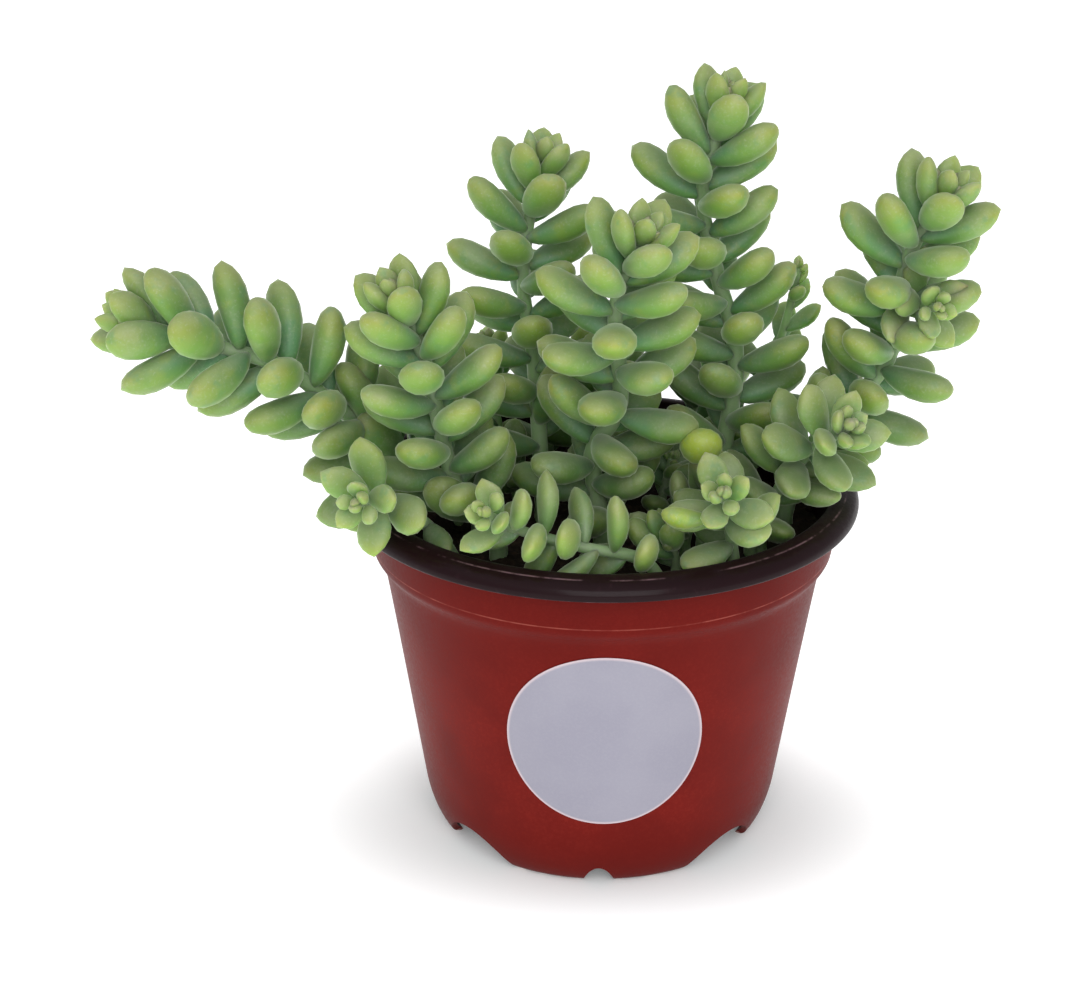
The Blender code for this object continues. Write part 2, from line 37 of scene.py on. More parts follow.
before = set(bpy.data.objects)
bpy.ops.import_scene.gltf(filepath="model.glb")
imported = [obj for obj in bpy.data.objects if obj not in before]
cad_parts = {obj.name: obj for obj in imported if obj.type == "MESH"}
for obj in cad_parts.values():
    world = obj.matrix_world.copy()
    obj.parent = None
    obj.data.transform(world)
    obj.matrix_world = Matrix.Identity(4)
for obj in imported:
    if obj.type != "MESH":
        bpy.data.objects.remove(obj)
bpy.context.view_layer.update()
print("frame loaded")

mm = 0.001
potLow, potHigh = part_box("pot")
potFoot = Vector(((potLow.x + potHigh.x) / 2, (potLow.y + potHigh.y) / 2, 0))
potHeight = potHigh.z / mm
lipRadius = (potHigh.x - potLow.x) / 2 / mm
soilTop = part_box("soil")[1].z / mm


def spot(x, y, z):
    return potFoot + Vector((x, y, z)) * mm


def paint(red, green, blue):
    # a screen colour, 0 to 255, as the light that a shader wants
    return (*[(c / 255 / 12.92) if c < 11 else ((c / 255 + 0.055) / 1.055) ** 2.4
              for c in (red, green, blue)], 1.0)


# what follows builds node graphs, for materials and for geometry
def operator(operation, reflected=False):
    def applied(value, other):
        pair = (other, value) if reflected else (value, other)
        return value.graph.maths(operation, *pair)
    return applied


class Value:
    # a socket that can stand in a sum
    def __init__(self, graph, socket):
        self.graph = graph
        self.socket = socket

    __add__ = operator("ADD")
    __radd__ = operator("ADD", reflected=True)
    __sub__ = operator("SUBTRACT")
    __rsub__ = operator("SUBTRACT", reflected=True)
    __mul__ = operator("MULTIPLY")
    __rmul__ = operator("MULTIPLY", reflected=True)
    __rtruediv__ = operator("DIVIDE", reflected=True)
    __pow__ = operator("POWER")
    __gt__ = operator("GREATER_THAN")
    __lt__ = operator("LESS_THAN")


class Graph:
    def __init__(self, tree):
        self.tree = tree

    def node(self, kind, values=None, output=0, **settings):
        made = self.tree.nodes.new(kind)
        for name, setting in settings.items():
            if name == "stops":
                ramp = made.color_ramp
                while len(ramp.elements) < len(setting):
                    ramp.elements.new(1.0)
                for element, (place, colour) in zip(ramp.elements, setting):
                    element.position = place
                    element.color = colour
            else:
                setattr(made, name, setting)
        for name, value in (values or {}).items():
            self.feed(made.inputs[name], value)
        return Value(self, made.outputs[output])

    def feed(self, socket, value):
        if isinstance(value, Value):
            self.tree.links.new(value.socket, socket)
        else:
            socket.default_value = value

    def maths(self, operation, first, second=0.0):
        return self.node("ShaderNodeMath", {0: first, 1: second}, operation=operation)

    def vectors(self, operation, first, second=(0, 0, 0), output=0):
        return self.node("ShaderNodeVectorMath", {0: first, 1: second}, output, operation=operation)

    def stretched(self, vector, factor):
        return self.node("ShaderNodeVectorMath", {0: vector, "Scale": factor}, operation="SCALE")

    def parts(self, vector):
        split = self.node("ShaderNodeSeparateXYZ", {0: vector})
        return [Value(self, socket) for socket in split.socket.node.outputs]

    def limits(self, value, low, high, outLow=0.0, outHigh=1.0):
        # eases from one level to another while value goes from low to high
        return self.node("ShaderNodeMapRange", {
            "Value": value, "From Min": low, "From Max": high, "To Min": outLow, "To Max": outHigh},
            interpolation_type="SMOOTHSTEP")

    def near(self, value, place, full, gone):
        # 1 where value is within full of the place, easing to 0 at gone
        return 1 - self.limits(self.maths("ABSOLUTE", value - place), full, gone)

    def noise(self, where, size, detail=2.0, roughness=0.5):
        # size is that of one blot, in millimetres
        return self.node("ShaderNodeTexNoise", {
            "Vector": where, "Scale": 1 / (size * mm), "Detail": detail, "Roughness": roughness})


class Finish(Graph):
    def __init__(self, name, **fixed):
        self.material = bpy.data.materials.new(name)
        self.material.use_nodes = True
        super().__init__(self.material.node_tree)
        self.shader = self.tree.nodes["Principled BSDF"]
        self.wear(**fixed)

    def wear(self, **fed):
        for socket, value in fed.items():
            self.feed(self.shader.inputs[socket.replace("_", " ")], value)

    def place(self):
        return self.node("ShaderNodeTexCoord", output="Object")

    def fromMesh(self, name):
        return self.node("ShaderNodeAttribute", output="Fac", attribute_name=name)

    def blend(self, share, first, second):
        return self.node("ShaderNodeMix", {0: share, 6: first, 7: second}, 2, data_type="RGBA")

    def layered(self, look, first, layers):
        # colours of the look over one another, each by its share
        colour = paint(*look[first])
        for name, share in layers:
            colour = self.blend(share, colour, paint(*look[name]))
        return colour

    def bump(self, height, depth, strength=1.0):
        return self.node("ShaderNodeBump", {
            "Height": height, "Distance": depth * mm, "Strength": strength})


socketKinds = {int: "Int", float: "Float", type(None): "Material"}


def startTree(name, form):
    # a geometry tree whose named inputs come from form, as a graph and the inputs' values
    tree = bpy.data.node_groups.new(name, "GeometryNodeTree")
    for way in ("INPUT", "OUTPUT"):
        tree.interface.new_socket("Geometry", in_out=way, socket_type="NodeSocketGeometry")
    for key, value in form.items():
        kind = socketKinds[type(value)]
        tree.interface.new_socket(key, in_out="INPUT", socket_type="NodeSocket" + kind)
    g = Graph(tree)
    given = g.node("NodeGroupInput")
    return g, {socket.name: Value(g, socket) for socket in given.socket.node.outputs}


def endTree(g, geometry, skin):
    geometry = g.node("GeometryNodeRealizeInstances", {"Geometry": geometry})
    geometry = g.node("GeometryNodeSetMaterial", {"Geometry": geometry, "Material": skin})
    out = g.tree.nodes.new("NodeGroupOutput")
    g.tree.links.new(geometry.socket, out.inputs["Geometry"])
    return g.tree


# sizes are millimetres. shadeHeight, shadeDepth: where leaves come out of the shade on the way
# up, and into it on the way back, in metres
leafLook = dict(
    root=(98, 144, 104), flesh=(111, 142, 74), tip=(152, 154, 62), young=(150, 157, 100),
    # painted light: the under colour lifts the sides of the leaves that face down
    shaded=(56, 90, 40), bloom=(172, 176, 160), under=(116, 168, 58), dustAndTopLight=(142, 153, 120),
    lit=(140, 155, 62), cool=(82, 136, 98), stem=(132, 164, 112), patchSize=6, blotSize=4.5, grainSize=0.55,
    grainDepth=0.05, youngShare=0.7, blotShare=0.5, underLightShare=0.5, dustAndTopLightShare=0.4, shadedShare=0.6,
    shadeHeight=(0.066, 0.105), shadeDepth=(-0.037, -0.024))

# two old leaves that have turned
turnedLook = dict(
    leafLook, root=(128, 164, 56), flesh=(142, 166, 42), tip=(160, 168, 44), shaded=(130, 154, 38),
    under=(130, 160, 40), dustAndTopLight=(152, 164, 86))


def leafFinish(name, look):
    leaf = Finish(name, Subsurface_Weight=0.5, Subsurface_Scale=0.008, Subsurface_Radius=(0.6, 1.0, 0.35),
                  Sheen_Weight=0.45, Sheen_Roughness=0.3, Sheen_Tint=(0.9, 1.0, 0.75, 1.0),
                  Specular_IOR_Level=0.4)
    along, age, tint, stem = [leaf.fromMesh(name) for name in ("along", "age", "tint", "onStem")]
    where = leaf.place()
    _, depth, height = leaf.parts(where)
    patches = leaf.noise(where, look["patchSize"])
    blots = leaf.noise(where, look["blotSize"], 3, 0.6)
    grain = leaf.noise(where, look["grainSize"], 3, 0.6)
    upward = leaf.parts(leaf.node("ShaderNodeNewGeometry", output="Normal"))[2]
    shade = leaf.limits(height, *look["shadeHeight"], look["shadedShare"], 0.0)
    shade = shade * (1 - stem) * leaf.limits(depth, *look["shadeDepth"])
    # the middle of the leaf, its tip and patches, painted light on its under side, dust and painted
    # light from above on its upper side, painted shade low down and at the back, and the bloom on it
    colour = leaf.layered(look, "root", [
        ("flesh", leaf.limits(along + (patches - 0.5) * 0.3, 0.2, 0.7)),
        ("tip", leaf.limits(along + (patches - 0.5) * 0.25, 0.66, 1.02) * (0.45 + 0.55 * tint)),
        ("young", (1 - age) * look["youngShare"]),
        ("lit", leaf.limits(blots, 0.52, 0.68, 0.0, look["blotShare"]) * (1 - stem)),
        ("cool", leaf.limits(blots, 0.46, 0.3, 0.0, look["blotShare"]) * (1 - stem)),
        ("bloom", leaf.limits(grain, 0.55, 0.7, 0.0, 0.22)),
        # painted light: the sides that face down are painted lighter and greener
        ("under", (1 - leaf.limits(upward, -0.6, 0.45)) * look["underLightShare"]),
        # dust together with painted light from above: the sides that face up are paler
        ("dustAndTopLight", leaf.limits(upward, 0.15, 0.95, 0.0, look["dustAndTopLightShare"])),
        ("shaded", shade),
        ("stem", stem),
        ("bloom", leaf.limits(patches + (grain - 0.5) * 0.5, 0.35, 0.85, 0.03, 0.26))])
    leaf.wear(Base_Color=colour, Roughness=leaf.limits(grain, 0.3, 0.7, 0.42, 0.56),
              Normal=leaf.bump(grain, look["grainDepth"], 0.5))
    return leaf.material


# sizes are millimetres. crown, hem and specks: how far in or down from the lip's edge. line:
# half the width of a painted highlight line on the lip
potLook = dict(
    red=(107, 20, 14), dusty=(134, 39, 30), deep=(88, 15, 11), dark=(28, 11, 15), scuffed=(46, 25, 31),
    crestHighlight=(128, 100, 106), ridgeHighlight=(176, 96, 84), bare=(214, 190, 184), mottleSize=0.7, cloudSize=14,
    rubSize=3.0, raggedSize=5.0, speckSize=0.6, lip=3.9, crown=2.5, hem=3.75, specks=4.1, line=0.28,
    ridgeUp=1.1)


def potFinish():
    look = potLook
    pot = Finish("potPlastic", Specular_IOR_Level=0.06, Sheen_Weight=0.03, Sheen_Roughness=0.35,
                 Coat_Roughness=0.15)
    where = pot.vectors("SUBTRACT", pot.place(), tuple(potFoot))
    x, y, z = pot.parts(where)
    flat = pot.node("ShaderNodeCombineXYZ", {"X": x, "Y": y})
    reach = pot.vectors("LENGTH", flat, output="Value")
    normal = pot.node("ShaderNodeNewGeometry", output="Normal")
    facing = pot.vectors("DOT_PRODUCT", normal, pot.vectors("NORMALIZE", flat), "Value")
    inside = (facing < -0.05) * (z > 0.0078)
    lip = z > (potHeight - look["lip"]) * mm
    mottle = pot.noise(where, look["mottleSize"], 4, 0.7)
    clouds = pot.noise(where, look["cloudSize"])
    ragged = pot.noise(where, look["raggedSize"], 4, 0.6)
    # painted shade: the red is darker towards the foot and towards the top
    shadedEnds = pot.maths("MAXIMUM", pot.limits(z, 0.03, 0.064), 1 - pot.limits(z, 0.003, 0.018))
    # painted highlight: a broken pale line just above the collar's step
    ridgeHighlight = pot.near(z, (potForm["collarFoot"] + look["ridgeUp"]) * mm, 0.0, 0.0002)
    red = pot.layered(look, "red", [
        ("dusty", pot.limits(mottle, 0.42, 0.72, 0.0, 0.4)),
        ("deep", pot.limits(clouds, 0.35, 0.7, 0.0, 0.45)),
        ("deep", shadedEnds * 0.55),
        ("ridgeHighlight", ridgeHighlight * pot.limits(ragged, 0.35, 0.6, 0.1, 0.5))])
    # the dark plastic of the lip and the inner wall, scuffed, with broken lines of painted highlight on the
    # lip
    crown = pot.near(reach, (lipRadius - look["crown"]) * mm, 0.0, look["line"] * mm)
    hem = pot.near(z, (potHeight - look["hem"]) * mm, 0.0, look["line"] * mm)
    dark = pot.layered(look, "dark", [
        ("scuffed", pot.limits(pot.noise(where, look["rubSize"], 5, 0.7), 0.58, 0.72, 0.0, 0.4)),
        ("crestHighlight", pot.maths("MAXIMUM", crown * 0.75, hem) * pot.limits(ragged, 0.42, 0.6) * lip)])
    colour = pot.blend(pot.maths("MAXIMUM", inside, lip), red, dark)
    # specks of bare plastic under the lip, and a painted highlight in the same pale colour along the cut
    # edges of the foot
    specks = pot.limits(pot.noise(where, look["speckSize"], 3, 0.6), 0.62, 0.68)
    specks = specks * pot.near(z, (potHeight - look["specks"]) * mm, 0.0002, 0.0006)
    footEdgeHighlight = (1 - pot.limits(z, 0.0002, 0.0007)) * pot.limits(ragged, 0.46, 0.6) * 0.7
    bare = pot.maths("MAXIMUM", specks * pot.limits(clouds, 0.5, 0.6), footEdgeHighlight)
    colour = pot.blend(bare, colour, paint(*look["bare"]))
    pot.wear(Base_Color=colour, Roughness=pot.limits(mottle, 0.3, 0.7, 0.38, 0.52),
             Coat_Weight=lip * 0.12, Normal=pot.bump(mottle, 0.03, 0.4))
    return pot.material


paperLook = dict(
    grey=(146, 144, 157), dull=(141, 139, 153), fibre=(158, 157, 167),
    rim=(206, 188, 192), fibreSize=0.5, shadeSize=12)


def paperFinish():
    look = paperLook
    paper = Finish("labelPaper", Specular_IOR_Level=0.4)
    where = paper.place()
    rim = paper.fromMesh("rim")
    fibres = paper.noise(where, look["fibreSize"], 3)
    shade = paper.noise(where, look["shadeSize"])
    colour = paper.layered(look, "grey", [
        ("dull", paper.limits(shade, 0.3, 0.7)),
        ("fibre", paper.limits(fibres, 0.4, 0.7, 0.0, 0.18)),
        ("rim", paper.limits(rim, 0.965, 0.995, 0.0, 0.8))])
    paper.wear(Base_Color=colour, Roughness=paper.limits(fibres, 0.3, 0.7, 0.4, 0.52),
               Normal=paper.bump(fibres, 0.02, 0.3))
    return paper.material


peatLook = {
    "lumpSize": 2.5, "stops": [(0.3, paint(22, 17, 14)), (0.55, paint(44, 34, 27)), (0.8, paint(78, 62, 48))]}


def peatFinish():
    peat = Finish("peat", Roughness=0.95, Specular_IOR_Level=0.2)
    lumps = peat.noise(peat.place(), peatLook["lumpSize"], 4, 0.65)
    colour = peat.node("ShaderNodeValToRGB", {0: lumps}, stops=peatLook["stops"])
    peat.wear(Base_Color=colour, Normal=peat.bump(lumps, 0.5, 0.7))
    return peat.material


print("finishes ready")

# where each leaf grows on the leafy stems. Widths, thicknesses and lengths are shares of the
# leaf's full length, and balls lists the place and girth of the balls that stand for its flesh
leafForm = dict(
    goldenAngle=137.5, width=0.53, youngWidth=0.64, thickness=0.42, flatTop=0.84, youngFlatTop=0.66,
    bend=0.11, tipCrowding=12.0, firstLeaf=5, grownAfter=15.0, openAfter=19.0, openLate=1.1, tipLength=0.20,
    tipTilt=12.0, budLength=0.17, budGrowth=0.024, budTilt=12.0, budBroad=1.1, budPlump=1.6, budStart=0.4,
    budOut=0.25, budBack=0.35, clearOfOthers=0.3, clearOfWall=0.8,
    balls=((0.2, 0.66), (0.35, 0.92), (0.5, 1.0), (0.66, 1.02), (0.8, 0.98), (0.92, 0.6)),
    shorter=(1.0, 0.87, 0.74), tiltSteps=(0, -14, 14, -28, 24, -42), turnSteps=(0, 16, -16, 32, -32))

potForm = dict(
    collarRadius=45.9, collarFoot=59.5, bodyTopRadius=42.9, bodyTop=56.4, bodyFootRadius=35.4, bodyFoot=8.8,
    footRadius=30.8, wall=0.95, underside=7.3, base=1.1, scallopTurn=48.0, scallopWidth=18.6,
    scallopHeight=7.0, notchWidth=6.0, notchHeight=4.2, archPower=1.4, archSteps=24, barLength=120.0,
    barFoot=-2.0, drainRadius=3.5, drainCircle=19.0, drainCount=6, drainTurn=30, drainMiddle=8,
    drainDepth=4, steps=180, roundings=2, lipIn=0.6, sharp=42)

stemForm = dict(holeFloor=50.0, mouth=62.0, taper=0.4, perSpan=6)

# path: stem centre from the mouth of its hole to the tip. leaf: full-grown length. spacing:
# stem between two full-grown leaves. turn: phase and hand of the spiral. tilt: full-grown
# leaves from the stem. lift: how far leaves turn upwards. bare: leafless stem above the soil.
# broad, buds: how much wider its leaves are, and how much longer its buds. grown, open: leaves
# from the tip to the first full-grown one, and to the first that stands fully out. ripe: how
# far its leaves take a grown leaf's form.
rosette = dict(grown=12, open=11, ripe=0.5, buds=1.45)
backShoot = dict(spacing=4.2, lift=0.1, bare=7, grown=12, open=14)
shoots = dict(
    stem_middle=dict(
        path=[(0, -6, 62), (-2, -8, 80), (3, -11, 92), (2, -16, 113), (7, -20, 128)],
        leaf=17.0, spacing=2.25, turn=(315, -1), tilt=83, lift=0.12, bare=4, radius=2.0),
    stem_left_front=dict(
        path=[(-20, -12, 62), (-28, -16, 77), (-33, -20, 103), (-38, -24, 117.5)],
        leaf=16.6, spacing=2.28, turn=(176, -1), tilt=72, lift=0.12, bare=3, radius=1.9),
    stem_back_middle=dict(
        path=[(22, 10, 62), (26, 12, 91), (21.5, 12, 111), (18.5, 11, 127), (23, 10, 146)],
        leaf=16.8, spacing=2.38, turn=(155, 1), tilt=80, lift=0.15, bare=11, radius=2.0),
    stem_back_left=dict(
        path=[(-12, 10, 62), (-14, 13, 92), (-16, 15, 106), (-15, 16, 119), (-12, 16, 132.5)],
        leaf=16.4, spacing=2.41, turn=(255, 1), tilt=83, lift=0.12, bare=11, radius=1.8),
    stem_right=dict(
        path=[(36, 6, 62), (42, 8, 77), (55, 6, 95), (57, 0, 117), (63.5, -4, 132.5)],
        leaf=17.0, spacing=2.35, turn=(303, -1), tilt=80, lift=0.12, bare=15, radius=2.0,
        branch=dict(
            path=[(54, 4, 105), (57, 1, 108), (60, -4, 109.5), (62, -10, 111)],
            leaf=11.5, spacing=2.8, turn=(0, 1), tilt=80, lift=0.0, bare=3, radius=1.3,
            broad=1.05, **dict(rosette, buds=1.4))),
    stem_left_trailing=dict(
        path=[(-24, 1, 62), (-36, -3, 75), (-51, -8, 89.5), (-62, -11, 99),
              (-82, -13, 105.5), (-88.5, -14, 109)],
        leaf=17.4, spacing=2.3, turn=(68, -1), tilt=70, lift=0.14, bare=16, radius=2.0),
    stem_right_front=dict(
        path=[(29, -8, 62), (33, -9, 72), (38.5, -14, 83), (45, -25, 93)],
        leaf=14.0, spacing=2.4, turn=(38, 1), tilt=80, lift=0.05, bare=4, radius=1.6,
        broad=1.02, grown=14, open=14, ripe=0.6, buds=1.35),
    shoot_front_right=dict(
        path=[(25, -27, 62), (24, -28, 71), (22.5, -32, 79), (21.5, -39, 85)],
        leaf=13.0, spacing=2.9, turn=(80, -1), tilt=86, lift=0.0, bare=6, radius=1.4,
        broad=1.02, **rosette),
    shoot_front_left=dict(
        path=[(11, -30, 63), (7, -32, 69), (-3, -34, 72), (-12, -34.5, 74.5),
              (-18, -37, 78), (-21, -43, 82.5)],
        leaf=12.5, spacing=3.8, turn=(140, 1), tilt=84, lift=0.1, bare=8, radius=1.4,
        broad=1.12, **rosette),
    shoot_far_left=dict(
        path=[(-28, -19, 62), (-34, -22, 72), (-41, -27, 78.5), (-44.2, -37.5, 82)],
        leaf=13.5, spacing=3.0, turn=(45, 1), tilt=86, lift=0.0, bare=7, radius=1.5,
        broad=1.04, **rosette),
    shoot_front_middle=dict(
        path=[(14, -23, 62), (13, -26, 71)],
        leaf=13.0, spacing=2.0, turn=(15, 1), tilt=62, lift=0.1, bare=1, radius=1.2,
        grown=10, open=12),
    shoot_inner=dict(
        path=[(16, -9, 62), (18, -12, 72), (19, -15, 79)],
        leaf=12.5, spacing=2.8, turn=(70, 1), tilt=60, lift=0.1, bare=1, radius=1.3,
        broad=1.2, grown=10, open=12),
    shoot_behind_right=dict(
        path=[(30, 21, 62), (33, 22, 84), (36, 20, 98), (38, 17, 110)],
        leaf=12.0, spacing=4.6, turn=(0, 1), tilt=74, lift=0.1, bare=12, radius=1.2,
        grown=16, open=14),
    shoot_back_left=dict(
        path=[(-20, 27, 62), (-23, 33, 75), (-24, 38, 87)],
        leaf=14.5, turn=(25, -1), tilt=78, radius=1.5, **backShoot),
    shoot_back_middle=dict(
        path=[(0, 28, 62), (-1, 34, 76), (-2, 40, 91)],
        leaf=15.5, turn=(50, 1), tilt=80, radius=1.6, **backShoot),
    shoot_back_right=dict(
        path=[(18, 29, 62), (20, 35, 75), (24, 42, 84)],
        leaf=14.5, turn=(95, -1), tilt=78, radius=1.6, **backShoot))

# a stem starts at the bottom of its hole
for shoot in shoots.values():
    x, y, _ = shoot["path"][0]
    shoot["path"].insert(0, (x, y, stemForm["holeFloor"]))


def smoothPath(points):
    # straight up out of the hole, then a smooth curve through the other points
    perSpan = stemForm["perSpan"]
    points = [Vector(p) for p in points]
    foot, mouth = points[:2]
    points = points[1:]
    start = mouth - (mouth - foot).normalized() * (points[1] - mouth).length
    padded = [start] + points + [2 * points[-1] - points[-2]]
    path = [foot.lerp(mouth, step / perSpan) for step in range(perSpan)]
    for i in range(len(points) - 1):
        a, b, c, d = padded[i:i + 4]
        for step in range(perSpan):
            t = step / perSpan
            path.append(0.5 * (2 * b + (c - a) * t + (2 * a - 5 * b + 4 * c - d) * t * t
                               + (3 * b - a - 3 * c + d) * t * t * t))
    path.append(points[-1])
    return path


class Stem:
    # the centre line with a frame carried along it without twist
    def __init__(self, shoot):
        self.points = smoothPath(shoot["path"])
        self.radius = shoot["radius"]
        self.along = [0.0]
        for a, b in zip(self.points, self.points[1:]):
            self.along.append(self.along[-1] + (b - a).length)
        self.length = self.along[-1]
        last = len(self.points) - 1
        self.tangents = [(self.points[min(i + 1, last)] - self.points[max(i - 1, 0)]).normalized()
                         for i in range(last + 1)]
        side = self.tangents[0].orthogonal().normalized()
        self.sides = []
        for tangent in self.tangents:
            side = (side - tangent * side.dot(tangent)).normalized()
            self.sides.append(side)

    def at(self, distance):
        distance = min(max(distance, 0.0), self.length)
        i = 0
        while i < len(self.along) - 2 and self.along[i + 1] < distance:
            i += 1
        t = (distance - self.along[i]) / (self.along[i + 1] - self.along[i])
        tangent = self.tangents[i].lerp(self.tangents[i + 1], t).normalized()
        side = self.sides[i].lerp(self.sides[i + 1], t)
        side = (side - tangent * side.dot(tangent)).normalized()
        return self.points[i].lerp(self.points[i + 1], t), tangent, side

    def radiusAt(self, distance):
        return self.radius * (1 - stemForm["taper"] * distance / self.length)

    def balls(self):
        return [(*point, self.radiusAt(s)) for point, s in zip(self.points, self.along)]


def aimed(stemPlace, around, tilt):
    # outwards from a stem, by its angle round the stem and its tilt away from it
    _, tangent, side = stemPlace
    radial = Matrix.Rotation(math.radians(around), 3, tangent) @ side
    lean = math.radians(tilt)
    return radial, tangent * math.cos(lean) + radial * math.sin(lean)


class Leaf:
    def __init__(self, root, out, up, length, age, broad):
        form = leafForm
        self.root = root
        self.out = out
        self.up = (up - out * up.dot(out)).normalized()
        self.length = length
        self.age = age
        width = form["youngWidth"] + (form["width"] - form["youngWidth"]) * age
        self.halfWidth = broad * length / 2 * width
        self.halfThick = length / 2 * form["thickness"]

    def balls(self):
        found = []
        for t, girth in leafForm["balls"]:
            rise = leafForm["bend"] * self.length * t * t
            centre = self.root + self.out * (self.length * t) + self.up * rise
            found.append((*centre, self.halfWidth * girth))
        return found


class Crowd:
    # every ball of flesh placed so far, and whose it is
    def __init__(self):
        self.balls = np.zeros((0, 4))
        self.owners = np.zeros(0, int)

    def add(self, owner, balls):
        self.balls = np.vstack([self.balls, balls])
        self.owners = np.append(self.owners, [owner] * len(balls))

    def isClear(self, owner, balls):
        others = self.balls[self.owners != owner]
        for ball in balls:
            if wallDistance(ball) < leafForm["clearOfOthers"]:
                return False
            apart = np.linalg.norm(others[:, :3] - ball[:3], axis=1)
            if np.any(apart < others[:, 3] + ball[3] + leafForm["clearOfOthers"]):
                return False
        return True


def wallDistance(ball):
    # from a ball's skin to the pot's wall or lip, or to the soil's top
    wall = potForm["collarRadius"] - potForm["wall"]
    top = potHeight - potForm["wall"]
    edge = lipRadius - potForm["lipIn"]
    section = ((wall, potForm["collarFoot"]), (wall, top), (edge, top - 1.0), (edge, top - 2.2))
    corners = [Vector(point) for point in section]
    here = Vector((math.hypot(ball[0], ball[1]), ball[2]))
    nearest = math.inf
    for start, end in zip(corners, corners[1:]):
        t = (here - start).dot(end - start) / (end - start).length_squared
        nearest = min(nearest, (here - start.lerp(end, min(max(t, 0), 1))).length)
    distance = nearest - leafForm["clearOfWall"]
    if here.x < wall - 1:
        distance = min(distance, ball[2] - soilTop)
    return distance - ball[3]


def placeLeaf(owner, stemPlace, around, tilt, lift, length, age, broad, crowd):
    # where the spiral puts it, or bent aside or shortened until it is clear
    form = leafForm
    centre, tangent, _ = stemPlace
    for shorter, tiltStep, turnStep in product(form["shorter"], form["tiltSteps"], form["turnSteps"]):
        _, out = aimed(stemPlace, around + turnStep, tilt + tiltStep)
        out = (out + Vector((0, 0, lift))).normalized()
        leaf = Leaf(centre, out, tangent, length * shorter, age, broad)
        if crowd.isClear(owner, leaf.balls()):
            return leaf
    return None


def ease(t):
    t = min(t, 1.0)
    return t * t * (3 - 2 * t)


def tipToLeaf(k, spacing):
    crowding = leafForm["tipCrowding"]
    return spacing * (k - crowding * (1 - math.exp(-k / crowding)))


def growLeaves(owner, shoot, stem, foot, crowd):
    form = leafForm
    leaves = []
    phase, hand = shoot["turn"]
    k = form["firstLeaf"]
    while stem.length - tipToLeaf(k, shoot["spacing"]) >= foot + shoot["bare"]:
        age = ease(k / shoot.get("grown", form["grownAfter"]))
        length = shoot["leaf"] * (form["tipLength"] + (1 - form["tipLength"]) * age)
        opened = min(k / shoot.get("open", form["openAfter"]), 1.0) ** form["openLate"]
        tilt = form["tipTilt"] + (shoot["tilt"] - form["tipTilt"]) * opened
        around = phase + hand * form["goldenAngle"] * k
        place = stem.at(stem.length - tipToLeaf(k, shoot["spacing"]))
        leaf = placeLeaf(owner, place, around, tilt, shoot["lift"], length,
                         age * shoot.get("ripe", 1.0), shoot.get("broad", 1.0), crowd)
        if leaf:
            leaves.append(leaf)
            crowd.add(owner, leaf.balls())
        k += 1
    return leaves


def growBuds(shoot, stem):
    # the youngest leaves, small and round, folded over the tip
    form = leafForm
    phase, hand = shoot["turn"]
    buds = []
    for k in range(form["firstLeaf"]):
        length = shoot["leaf"] * (form["budLength"] + form["budGrowth"] * k) * shoot.get("buds", 1.0)
        place = stem.at(stem.length)
        centre, tangent, _ = place
        tilt = form["budTilt"] * (k + form["budStart"])
        radial, out = aimed(place, phase + hand * form["goldenAngle"] * k, tilt)
        root = centre + radial * form["budOut"] * k - tangent * form["budBack"] * k
        bud = Leaf(root, out, tangent, length, 0.0, form["budBroad"])
        bud.halfThick *= form["budPlump"]
        buds.append(bud)
    return buds


# the flesh that geometry nodes grow on those places
fleshForm = {
    "Leaf sides": 14, "Leaf rings": 8, "Stem sides": 12, "Bend": leafForm["bend"], "Bulge": 0.07,
    "Narrow root": 0.72, "Full tip": 0.38, "Square root": 0.06, "Blunt tip": 0.3, "Grown point": 0.12,
    "Young point": 0.54, "Tip spike": 0.05, "Grown flat top": leafForm["flatTop"],
    "Young flat top": leafForm["youngFlatTop"], "Wobble": 0.22 * mm, "Wobble size": 7 * mm, "Seed": 5,
    "Skin": None}


